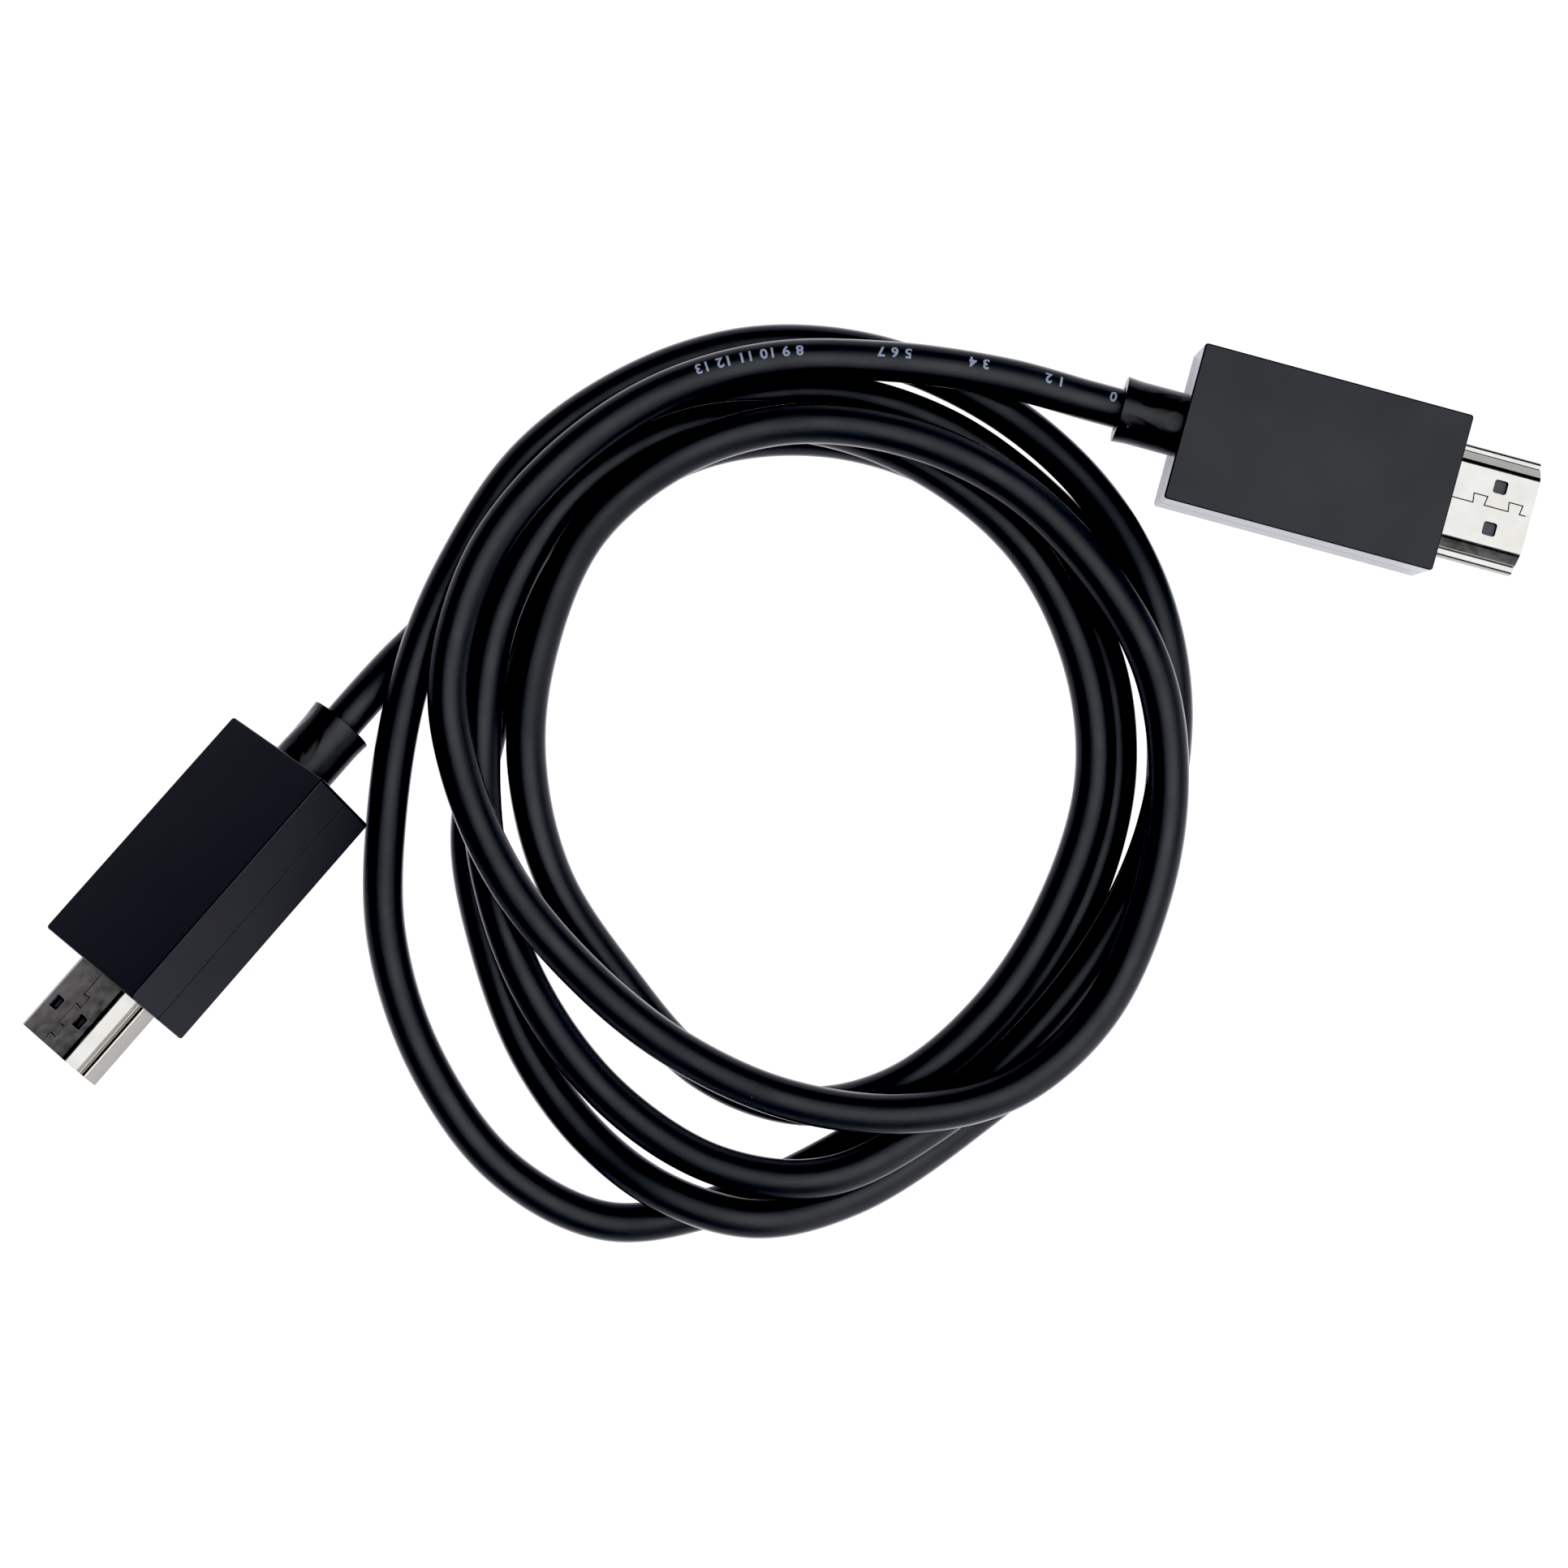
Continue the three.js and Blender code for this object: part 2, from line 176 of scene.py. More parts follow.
# The cable's way from plug a round the coil to plug b, in metres, drawn as on the plan
cableRoute = [
    (0.0265, 0.0486, 0.0068), (0.0125, 0.0503, 0.0085), (-0.002, 0.05, 0.01),
    (-0.015, 0.046, 0.011), (-0.027, 0.0375, 0.0118), (-0.0355, 0.0265, 0.0124),
    (-0.0395, 0.0125, 0.0128), (-0.038, 0.001, 0.0125), (-0.0325, -0.0115, 0.0125),
    (-0.0235, -0.0225, 0.012), (-0.013, -0.031, 0.012), (0, -0.037, 0.0125),
    (0.014, -0.0388, 0.0127), (0.027, -0.0358, 0.0128), (0.037, -0.027, 0.0126),
    (0.043, -0.014, 0.0125), (0.0453, 0, 0.0125), (0.0435, 0.0133, 0.0125), (0.037, 0.025, 0.0125),
    (0.027, 0.035, 0.0125), (0.014, 0.041, 0.0125), (0, 0.0423, 0.0125), (-0.0128, 0.0383, 0.0122),
    (-0.0233, 0.0297, 0.0105), (-0.0293, 0.0163, 0.0075), (-0.031, 0.003, 0.0045),
    (-0.028, -0.011, 0.0028), (-0.02, -0.0235, 0.0025), (-0.01, -0.0345, 0.0026),
    (0.002, -0.0388, 0.0038), (0.0135, -0.0361, 0.0065), (0.0245, -0.027, 0.0073),
    (0.0325, -0.0145, 0.0074), (0.037, 0, 0.0074), (0.0358, 0.014, 0.0074), (0.029, 0.028, 0.0075),
    (0.017, 0.038, 0.0075), (0.003, 0.043, 0.0075), (-0.012, 0.0423, 0.0073),
    (-0.0253, 0.0343, 0.0073), (-0.0338, 0.0203, 0.0074), (-0.0362, 0.004, 0.0075),
    (-0.035, -0.011, 0.0074), (-0.03, -0.025, 0.0073), (-0.0205, -0.0375, 0.0075),
    (-0.008, -0.0454, 0.0084), (0.005, -0.0467, 0.0089), (0.018, -0.0403, 0.008),
    (0.03, -0.0295, 0.0075), (0.039, -0.0175, 0.0075), (0.0445, -0.005, 0.0075),
    (0.0464, 0.009, 0.0076), (0.0438, 0.023, 0.0072), (0.0367, 0.0358, 0.0046),
    (0.0252, 0.0459, 0.0027), (0.011, 0.052, 0.0025), (-0.004, 0.0529, 0.0032),
    (-0.018, 0.0482, 0.0052), (-0.0305, 0.039, 0.0072), (-0.039, 0.026, 0.0084),
    (-0.0443, 0.0125, 0.0097), (-0.0473, -0.003, 0.008), (-0.0477, -0.0185, 0.0055),
    (-0.0432, -0.0335, 0.0035), (-0.034, -0.0464, 0.0027), (-0.0215, -0.0529, 0.0025),
    (-0.008, -0.051, 0.0025), (0.006, -0.0448, 0.0025), (0.0176, -0.0371, 0.0025),
    (0.0281, -0.0276, 0.0025), (0.0367, -0.0132, 0.0025), (0.0403, 0.002, 0.0025),
    (0.038, 0.0172, 0.0025), (0.0289, 0.0298, 0.0025), (0.018, 0.0382, 0.0025),
    (0.004, 0.042, 0.0025), (-0.0105, 0.0403, 0.0025), (-0.023, 0.0325, 0.0025),
    (-0.031, 0.02, 0.0025), (-0.036, 0.006, 0.0025), (-0.038, -0.007, 0.0025),
    (-0.0357, -0.0195, 0.0026), (-0.0307, -0.0327, 0.003), (-0.0232, -0.0426, 0.0046),
    (-0.014, -0.049, 0.007), (-0.003, -0.0519, 0.0073), (0.0085, -0.0494, 0.0046),
    (0.0219, -0.0409, 0.003), (0.0353, -0.0288, 0.0026), (0.0415, -0.0155, 0.0025),
    (0.046, -0.001, 0.0025), (0.0453, 0.0125, 0.0025), (0.0398, 0.025, 0.0025),
    (0.0307, 0.0352, 0.0025), (0.0197, 0.043, 0.0025), (0.0065, 0.0472, 0.0025),
    (-0.007, 0.0463, 0.0025), (-0.02, 0.0424, 0.0025), (-0.0313, 0.0337, 0.0025),
    (-0.0375, 0.025, 0.0025), (-0.0424, 0.019, 0.0033), (-0.0465, 0.0146, 0.0053),
]

cable = {
    "diameter": 0.0048,
    "sides": 32,
    "step": 0.0008,
    "straight": 0.004,          # how far it runs straight out of each collar
    "intoMouth": 0.0009,        # how far it reaches into a collar's mouth
    "unevenness": 0.000012,     # how much its thickness wanders
    "waves": ((310, 0.0, 1.0), (173, 1.3, 1.0), (520, 0.4, 0.6)),   # wave, shift and share
}
collarEnd = -0.0239             # a collar's far end, from the middle of its plug


def onPlug(letter, along):
    return plugs[letter]["place"] @ Vector((along, 0, 0))


def smoothRoute(points, perSpan=24):
    ends = [2 * points[0] - points[1], *points, 2 * points[-1] - points[-2]]
    line = []
    for before, start, end, after in zip(ends, ends[1:], ends[2:], ends[3:]):
        spans = [(q - p).length ** 0.5 for p, q in ((before, start), (start, end), (end, after))]
        leave = (start - before) / spans[0] - (end - before) / (spans[0] + spans[1])
        leave = (leave + (end - start) / spans[1]) * spans[1]
        arrive = (end - start) / spans[1] - (after - start) / (spans[1] + spans[2])
        arrive = (arrive + (after - end) / spans[2]) * spans[1]
        for count in range(perSpan):
            t = count / perSpan
            curve = start + leave * t + (3 * (end - start) - 2 * leave - arrive) * t * t
            line.append(curve + (2 * (start - end) + leave + arrive) * t ** 3)
    line.append(points[-1])
    return line


def evenSteps(line, step):
    lengths = [0.0]
    for p, q in zip(line, line[1:]):
        lengths.append(lengths[-1] + (q - p).length)
    count = round(lengths[-1] / step)
    even, span = [], 0
    for i in range(count + 1):
        wanted = lengths[-1] * i / count
        while span < len(line) - 2 and lengths[span + 1] < wanted:
            span += 1
        share = (wanted - lengths[span]) / (lengths[span + 1] - lengths[span])
        even.append(line[span].lerp(line[span + 1], min(max(share, 0), 1)))
    return even, lengths[-1]


routePoints = [
    onPlug("a", collarEnd + cable["intoMouth"]),
    onPlug("a", collarEnd - cable["straight"]),
    *[Vector(point) + planShift for point in cableRoute],
    onPlug("b", collarEnd - cable["straight"]),
    onPlug("b", collarEnd + cable["intoMouth"]),
]
centreLine, cableLength = evenSteps(smoothRoute(routePoints), cable["step"])


def lineFrame(index):
    before, after = max(index - 1, 0), min(index + 1, len(centreLine) - 1)
    along = (centreLine[after] - centreLine[before]).normalized()
    up = (Vector((0, 0, 1)) - along * along.z).normalized()
    return along, up, along.cross(up)


def makeCable():
    sides, radius = cable["sides"], cable["diameter"] / 2
    points, faces = [], []
    for i, middle in enumerate(centreLine):
        along, up, side = lineFrame(i)
        s = i * cable["step"]
        wander = sum(share * math.sin(s * wave + shift) for wave, shift, share in cable["waves"])
        ring = radius + cable["unevenness"] * wander / 2
        for j in range(sides):
            angle = 2 * math.pi * (j / sides) + math.pi      # the seam lies underneath
            points.append(middle + (up * math.cos(angle) + side * math.sin(angle)) * ring)
    rings = len(centreLine)
    for i in range(rings - 1):
        for j in range(sides):
            k = (j + 1) % sides
            faces.append((i * sides + j, i * sides + k, (i + 1) * sides + k, (i + 1) * sides + j))
    faces.append(tuple(reversed(range(sides))))
    faces.append(tuple(range((rings - 1) * sides, rings * sides)))
    mesh = bpy.data.meshes.new("cableJacket")
    mesh.from_pydata(points, [], faces)
    piece = bpy.data.objects.new("cableJacket", mesh)
    scene.collection.objects.link(piece)
    layout = mesh.uv_layers.new(name="jacketMap")
    for face in mesh.polygons[:-2]:
        i, j = divmod(face.index, sides)
        corners = ((j, i), (j + 1, i), (j + 1, i + 1), (j, i + 1))
        for loop, (across, along) in zip(face.loop_indices, corners):
            layout.data[loop].uv = (across / sides, along * cable["step"] / (2 * math.pi * radius))
    startEdit(piece)
    bpy.ops.mesh.select_all(action="SELECT")
    bpy.ops.mesh.normals_make_consistent(inside=False)
    endEdit()
    smoothPiece(piece, 40)
    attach(piece, "root")
    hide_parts("cable")
    return piece


cableJacket = makeCable()
print(f"cable made, {cableLength:.3f} m, {len(cableJacket.data.polygons)} faces")


# Plain numbers printed along the jacket: each group's middle, and how far round from the top
marks = {
    "size": 0.00178,
    "lift": 0.000018,
    "thickness": 0.000006,
    "weight": 0.00005,
    "spacing": 1.12,
    "cuts": 4,                  # short cuts across, so that the figures can follow the curve
    "cutSpacing": 0.00018,
    "groups": [
        {"text": "0", "at": 0.0012, "round": 24},
        {"text": "1 2", "at": 0.0090, "round": 24},
        {"text": "3 4", "at": 0.0182, "round": 22},
        {"text": "5 6 7", "at": 0.0283, "round": 22},
        {"text": "8 9 10 11 12 13", "at": 0.0455, "round": 20},
    ],
}


def makeMarks(name, groups):
    radius = cable["diameter"] / 2
    parts = []
    for group in groups:
        dropSelection()
        bpy.ops.object.text_add(location=(0, 0, 0))
        words = bpy.context.object
        words.data.body = group["text"]
        words.data.size = marks["size"]
        words.data.align_x, words.data.align_y = "CENTER", "CENTER"
        words.data.extrude = marks["thickness"]
        words.data.offset = marks["weight"]
        words.data.space_character = marks["spacing"]
        words.data.resolution_u = 3
        bpy.ops.object.convert(target="MESH")
        part = newPiece("markPart")
        startEdit(part)
        for cut in range(-marks["cuts"], marks["cuts"] + 1):
            bpy.ops.mesh.select_all(action="SELECT")
            place = (0, cut * marks["cutSpacing"], 0)
            bpy.ops.mesh.bisect(plane_co=place, plane_no=(0, 1, 0))
        bpy.ops.mesh.select_all(action="SELECT")
        bpy.ops.mesh.remove_doubles(threshold=1e-7)
        bpy.ops.mesh.normals_make_consistent(inside=False)
        endEdit()
        for vert in part.data.vertices:
            place = (cable["intoMouth"] + group["at"] + vert.co.x) / cable["step"]
            index = min(int(place), len(centreLine) - 2)
            along, up, side = lineFrame(index)
            middle = centreLine[index].lerp(centreLine[index + 1], place - index)
            angle = math.radians(group["round"]) - vert.co.y / radius
            out = up * math.cos(angle) + side * math.sin(angle)
            vert.co = middle + out * (radius + marks["lift"] + vert.co.z)
        parts.append(part)
    dropSelection()
    for part in parts:
        part.select_set(True)
    bpy.context.view_layer.objects.active = parts[0]
    bpy.ops.object.join()
    piece = newPiece(name)
    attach(piece, "root")
    return piece


jacketMarks = makeMarks("jacketMarks", marks["groups"])
print("jacket numbers made")


# Plug housing, two halves
housing = {
    "length": 0.033,
    "width": 0.0191,
    "height": 0.0103,
    "cornerRadius": 0.0004,
    "edge": 0.00022,
    "parting": -0.0002,
    "partingRoom": 0.00003,
    "partingEdge": 0.00004,
    "collarRoom": 0.00004,
    "shellRoom": 0.00012,
    "shellEndRoom": 0.0003,
    "collarBore": 0.0045,
    "cutPast": 0.002,           # how far a cutter reaches past the end it cuts from
}

# Metal shell on the plug, a folded sheet
shell = {
    "width": 0.0139,
    "height": 0.00445,
    "sheet": 0.00035,
    "reach": 0.0102,
    "seat": 0.008,
    "narrowWidth": 0.00935,
    "ledgeDepth": 0.00095,
    "ledgeHeight": 0.0024,
    "slopeStart": 0.003,
    "bend": 0.00042,
    "ledgeBend": 0.00018,
    "edge": 0.00004,
    "windowSize": 0.0016,
    "windowSpacing": 0.00515,
    "windowFromTip": 0.0044,
    "windowCorner": 0.0003,
    "seamWidth": 0.0001,
    "tabHeight": 0.0011,
    "tabLength": 0.0017,
    "tabFlare": 0.00015,
    "tabsFromTip": (0.00645, 0.0021),
    "cutPast": 0.001,           # how far the seam's cutter reaches past both ends
    "cutDepth": 0.0009,         # how far cutters reach above and below the wide face
    "near": 0.0003,             # what counts as the same place when folds are picked
}
housingFront = housing["length"] / 2
shellTip = housingFront + shell["reach"]
shellRoot = housingFront - shell["seat"]


def shellOutline(room=0.0):
    bottom = -shell["height"] / 2
    side = shell["width"] / 2
    step = side - shell["ledgeDepth"]
    right = [
        (side, bottom),
        (side, bottom + shell["ledgeHeight"]),
        (step, bottom + shell["ledgeHeight"]),
        (step, bottom + shell["slopeStart"]),
        (shell["narrowWidth"] / 2, shell["height"] / 2),
    ]
    points = [Vector(p) for p in right + [(-y, z) for y, z in reversed(right)]]
    if not room:
        return points
    moved = []
    for before, here, after in zip(points[-1:] + points[:-1], points, points[1:] + points[:1]):
        first, second = (here - before).normalized(), (after - here).normalized()
        outward = Vector((first.y, -first.x)) + Vector((second.y, -second.x))
        reach = room * 2 / outward.length_squared
        moved.append(here + outward * reach)
    return moved


def isFold(edge, length):
    return (runsAlong(edge, 0) and len(edge.link_faces) == 2
            and edge.calc_length() > 0.9 * length and edge.calc_face_angle(0) > 0.5)


def atLedge(edge):
    step = shell["width"] / 2 - shell["ledgeDepth"]
    level = shell["slopeStart"] - shell["height"] / 2
    y, z = edge.verts[0].co.yz
    return abs(abs(y) - step) < shell["near"] and z < level + shell["near"]


def outlinePiece(name, outline, start, end, closed):
    dropSelection()
    bpy.ops.mesh.primitive_circle_add(vertices=len(outline), radius=0.01, fill_type="NOTHING")
    piece = newPiece(name)
    for vert, (y, z) in zip(piece.data.vertices, outline):
        vert.co = (start, y, z)
    startEdit(piece)
    bpy.ops.mesh.select_all(action="SELECT")
    bpy.ops.mesh.extrude_region_move(TRANSFORM_OT_translate={"value": (end - start, 0, 0)})
    for offset, ledge in ((shell["bend"], False), (shell["ledgeBend"], True)):
        pickEdges(piece, lambda edge: isFold(edge, end - start) and atLedge(edge) == ledge)
        bpy.ops.mesh.bevel(offset=offset, segments=5, affect="EDGES")
    if closed:
        for place in (start, end):
            pickEdges(piece, lambda edge: bothAt(edge, 0, place))
            bpy.ops.mesh.edge_face_add()
    bpy.ops.mesh.select_all(action="SELECT")
    bpy.ops.mesh.normals_make_consistent(inside=False)
    endEdit()
    return piece


def boxPiece(name, low, high):
    dropSelection()
    middle = [(a + b) / 2 for a, b in zip(low, high)]
    bpy.ops.mesh.primitive_cube_add(size=1, location=middle)
    piece = newPiece(name)
    piece.scale = [b - a for a, b in zip(low, high)]
    bpy.ops.object.transform_apply(location=True, rotation=True, scale=True)
    return piece


def rodPiece(name, start, end, radius, sides=96):
    dropSelection()
    bpy.ops.mesh.primitive_cylinder_add(
        vertices=sides, radius=radius, depth=end - start,
        location=((start + end) / 2, 0, 0), rotation=(0, math.pi / 2, 0))
    piece = newPiece(name)
    bpy.ops.object.transform_apply(location=True, rotation=True, scale=True)
    return piece


def housingHalf(name, inner, outer):
    half, wide = housing["length"] / 2, housing["width"] / 2
    piece = boxPiece(name, (-half, -wide, min(inner, outer)), (half, wide, max(inner, outer)))
    startEdit(piece)
    pickEdges(piece, lambda edge: runsAlong(edge, 2))
    bpy.ops.mesh.bevel(offset=housing["cornerRadius"], segments=5, affect="EDGES")
    pickEdges(piece, lambda edge: bothAt(edge, 2, outer))
    bpy.ops.mesh.bevel(offset=housing["edge"], segments=3, affect="EDGES")
    pickEdges(piece, lambda edge: bothAt(edge, 2, inner))
    bpy.ops.mesh.bevel(offset=housing["partingEdge"], segments=1, affect="EDGES")
    endEdit()
    room = outlinePiece(
        "shellRoom", shellOutline(housing["shellRoom"]), shellRoot - housing["shellEndRoom"],
        housingFront + housing["cutPast"], True)
    cutWith(piece, room)
    bore = rodPiece(
        "collarBore", -housingFront - housing["cutPast"], -housingFront + housing["collarBore"],
        collar["rootRadius"] + housing["collarRoom"])
    cutWith(piece, bore)
    smoothPiece(piece)
    useModifier(piece, "WEIGHTED_NORMAL", keep_sharp=True)
    return piece


# Collar, the short moulded strain relief
collar = {
    "length": 0.0074,
    "rootRadius": 0.00385,
    "lipRadius": 0.00402,
    "flareFrom": 0.0022,
    "lipEdge": 0.00008,
    "neck": 0.002,
    "mouthRadius": 0.00266,
    "mouthDepth": 0.0012,
    "sides": 120,
    "rings": 60,
    # along from the housing, round from the top, half length, half width, lean, depth
    "dents": [
        (0.0030, 30, 0.0027, 15, -14, 0.00005),
        (0.0042, -32, 0.0029, 15, 14, 0.00005),
        (0.0010, -4, 0.0012, 16, 0, 0.00004),
    ],
}


def collarRadius(along, angle):
    # along is measured from the housing's rear wall, outwards
    out = max(along - (collar["length"] - collar["flareFrom"]), 0) / collar["flareFrom"]
    radius = collar["rootRadius"] + (collar["lipRadius"] - collar["rootRadius"]) * out ** 1.6
    for place, turn, halfLength, halfWidth, lean, depth in collar["dents"]:
        u = (along - place) / halfLength
        v = (angle - turn - lean * u) / halfWidth
        inside = 1 - u * u - v * v
        if inside > 0:
            radius -= depth * min(inside * 2.5, 1) ** 1.3
    return radius


def makeCollar(name):
    back = -housingFront - collar["length"]
    piece = rodPiece(name, back, -housingFront + collar["neck"], collar["rootRadius"],
                     collar["sides"])
    startEdit(piece)
    pickFaces(piece, lambda face: face.normal.x < -0.9)
    bpy.ops.mesh.inset(thickness=collar["rootRadius"] - collar["mouthRadius"])
    bpy.ops.mesh.extrude_region_move(TRANSFORM_OT_translate={"value": (collar["mouthDepth"], 0, 0)})
    mouth = collar["mouthRadius"] * 1.05
    pickEdges(piece, lambda edge: bothAt(edge, 0, back)
              and all(vert.co.yz.length > mouth for vert in edge.verts))
    bpy.ops.mesh.bevel(offset=collar["lipEdge"], segments=2, affect="EDGES")
    pickEdges(piece, lambda edge: runsAlong(edge, 0)
              and edge.calc_length() > collar["length"]
              and all(vert.co.yz.length > mouth for vert in edge.verts))
    bpy.ops.mesh.subdivide(number_cuts=collar["rings"])
    endEdit()
    for vert in piece.data.vertices:
        across = vert.co.yz
        if across.length > collar["rootRadius"] * 0.97:
            along = -housingFront - vert.co.x
            angle = math.degrees(math.atan2(vert.co.y, vert.co.z))
            share = collarRadius(along, angle) / collar["rootRadius"]
            vert.co.y, vert.co.z = across.x * share, across.y * share
    smoothPiece(piece, 40)
    return piece


# The metal shell with its seam, tabs and latch windows
def seamCutter():
    stops = [(shellRoot - shell["cutPast"], 0.0)]
    for fromTip in shell["tabsFromTip"]:
        middle, head = shellTip - fromTip, shell["tabLength"] / 2
        foot = head - shell["tabFlare"]
        stops += [(middle - foot, 0.0), (middle - head, shell["tabHeight"])]
        stops += [(middle + head, shell["tabHeight"]), (middle + foot, 0.0)]
    stops.append((shellTip + shell["cutPast"], 0.0))
    half = shell["seamWidth"] / 2
    lines = [Vector(stop) for stop in stops]
    edges = []
    for before, here, after in zip([None] + lines, lines, lines[1:] + [None]):
        ways = [(q - p).normalized() for p, q in ((before, here), (here, after)) if p and q]
        across = sum((Vector((-way.y, way.x)) for way in ways), Vector((0, 0)))
        edges.append(across * (half * len(ways) / across.length_squared))
    outline = [p + e for p, e in zip(lines, edges)] + [p - e for p, e in zip(lines, edges)][::-1]
    dropSelection()
    bpy.ops.mesh.primitive_circle_add(vertices=len(outline), radius=0.01, fill_type="NGON")
    piece = newPiece("seamCutter")
    level, deep = shell["height"] / 2, shell["cutDepth"]
    for vert, (x, y) in zip(piece.data.vertices, outline):
        vert.co = (x, y, level - deep)
    startEdit(piece)
    bpy.ops.mesh.select_all(action="SELECT")
    bpy.ops.mesh.extrude_region_move(TRANSFORM_OT_translate={"value": (0, 0, 2 * deep)})
    bpy.ops.mesh.select_all(action="SELECT")
    bpy.ops.mesh.normals_make_consistent(inside=False)
    endEdit()
    return piece


def windowCutter(side):
    half, level, deep = shell["windowSize"] / 2, shell["height"] / 2, shell["cutDepth"]
    x, y = shellTip - shell["windowFromTip"], side * shell["windowSpacing"] / 2
    low, high = (x - half, y - half, level - deep), (x + half, y + half, level + deep)
    piece = boxPiece("windowCutter", low, high)
    startEdit(piece)
    pickEdges(piece, lambda edge: runsAlong(edge, 2))
    bpy.ops.mesh.bevel(offset=shell["windowCorner"], segments=4, affect="EDGES")
    endEdit()
    return piece


def makeShell(name):
    piece = outlinePiece(name, shellOutline(), shellRoot, shellTip, False)
    useModifier(piece, "SOLIDIFY", thickness=shell["sheet"], offset=-1, use_even_offset=True)
    cutWith(piece, windowCutter(1))
    cutWith(piece, windowCutter(-1))
    cutWith(piece, seamCutter())
    useModifier(piece, "BEVEL", width=shell["edge"], segments=2, limit_method="ANGLE",
                angle_limit=math.radians(60))
    smoothPiece(piece, 30)
    useModifier(piece, "WEIGHTED_NORMAL", keep_sharp=True)
    return piece


topHalf = housingHalf(
    "housingTop_a", housing["parting"] + housing["partingRoom"], housing["height"] / 2)
bottomHalf = housingHalf(
    "housingBottom_a", housing["parting"] - housing["partingRoom"], -housing["height"] / 2)
print("housing halves made")
collarPiece = makeCollar("collar_a")
print("collar made")
shellPiece = makeShell("shell_a")
print("metal shell made")

dressed = {"housing": [], "collar": [], "shell": []}
for kind, slot, node, made in (
    ("housing", "housing", "housing_top", topHalf),
    ("housing", "housing", "housing_bottom", bottomHalf),
    ("collar", "strain_relief", "strain_relief", collarPiece),
    ("shell", "connector_shell", "connector_shell", shellPiece),
):
    second = copyPiece(made, made.name[:-1] + "b")
    layPiece(made, "a", slot, node + "_a")
    layPiece(second, "b", slot, node + "_b")
    dressed[kind] += [made, second]

# Finishes
def newGroup(name, inputs, outputs):
    group = bpy.data.node_groups.new(name, "ShaderNodeTree")
    for word, kind, value in inputs:
        socket = group.interface.new_socket(name=word, in_out="INPUT", socket_type=kind)
        if value is not None:
            socket.default_value = value
    for word, kind in outputs:
        group.interface.new_socket(name=word, in_out="OUTPUT", socket_type=kind)
    return group, group.nodes.new("NodeGroupInput"), group.nodes.new("NodeGroupOutput")


def addNode(tree, kind, **values):
    node = tree.nodes.new(kind)
    for word, value in values.items():
        setattr(node, word, value)
    return node


def mathNode(tree, operation, first, second):
    node = addNode(tree, "ShaderNodeMath", operation=operation)
    for socket, value in zip(node.inputs, (first, second)):
        if isinstance(value, (int, float)):
            socket.default_value = value
        else:
            tree.links.new(value, socket)
    return node.outputs[0]


def dustGroup():
    # a few tiny pale specks, as dust leaves on black plastic
    group, ins, outs = newGroup("dustSpecks", [
        ("Vector", "NodeSocketVector", None), ("Scale", "NodeSocketFloat", 900.0),
        ("Share", "NodeSocketFloat", 0.05), ("Size", "NodeSocketFloat", 0.12),
    ], [("Mask", "NodeSocketFloat")])
    link = group.links.new
    cells = addNode(group, "ShaderNodeTexVoronoi", feature="F1")
    link(ins.outputs["Vector"], cells.inputs["Vector"])
    link(ins.outputs["Scale"], cells.inputs["Scale"])
    chance = addNode(group, "ShaderNodeSeparateColor")
    link(cells.outputs["Color"], chance.inputs[0])
    chosen = mathNode(group, "LESS_THAN", chance.outputs[0], ins.outputs["Share"])
    near = mathNode(group, "LESS_THAN", cells.outputs["Distance"],
                    mathNode(group, "MULTIPLY", ins.outputs["Size"], chance.outputs[1]))
    link(mathNode(group, "MULTIPLY", chosen, near), outs.inputs["Mask"])
    return group


def patchGroup():
    # soft broad patches, for sheen that is never quite even
    group, ins, outs = newGroup("softPatches", [
        ("Vector", "NodeSocketVector", None), ("Scale", "NodeSocketFloat", 120.0),
        ("Low", "NodeSocketFloat", 0.3), ("High", "NodeSocketFloat", 0.5),
    ], [("Value", "NodeSocketFloat")])
    link = group.links.new
    broad = addNode(group, "ShaderNodeTexNoise")
    broad.inputs["Detail"].default_value = 3.0
    link(ins.outputs["Vector"], broad.inputs["Vector"])
    link(ins.outputs["Scale"], broad.inputs["Scale"])
    spread = addNode(group, "ShaderNodeMapRange")
    spread.inputs["From Min"].default_value = 0.3
    spread.inputs["From Max"].default_value = 0.7
    link(broad.outputs[0], spread.inputs["Value"])
    link(ins.outputs["Low"], spread.inputs["To Min"])
    link(ins.outputs["High"], spread.inputs["To Max"])
    link(spread.outputs[0], outs.inputs["Value"])
    return group


def grainGroup():
    # moulded grain as a height: fine pits over a slower swell
    group, ins, outs = newGroup("mouldGrain", [
        ("Vector", "NodeSocketVector", None), ("Fine", "NodeSocketFloat", 9000.0),
        ("Slow", "NodeSocketFloat", 400.0), ("Swell", "NodeSocketFloat", 0.5),
    ], [("Height", "NodeSocketFloat")])
    link = group.links.new
    fine = addNode(group, "ShaderNodeTexNoise")
    slow = addNode(group, "ShaderNodeTexNoise")
    for node, word in ((fine, "Fine"), (slow, "Slow")):
        node.inputs["Detail"].default_value = 2.0
        link(ins.outputs["Vector"], node.inputs["Vector"])
        link(ins.outputs[word], node.inputs["Scale"])
    swell = mathNode(group, "MULTIPLY", slow.outputs[0], ins.outputs["Swell"])
    link(mathNode(group, "ADD", fine.outputs[0], swell), outs.inputs["Height"])
    return group


dust, patches, grain = dustGroup(), patchGroup(), grainGroup()


def newFinish(name):
    material = bpy.data.materials.new(name)
    material.use_nodes = True
    tree = material.node_tree
    shader = tree.nodes["Principled BSDF"]
    place = addNode(tree, "ShaderNodeTexCoord")
    return material, tree, shader, place


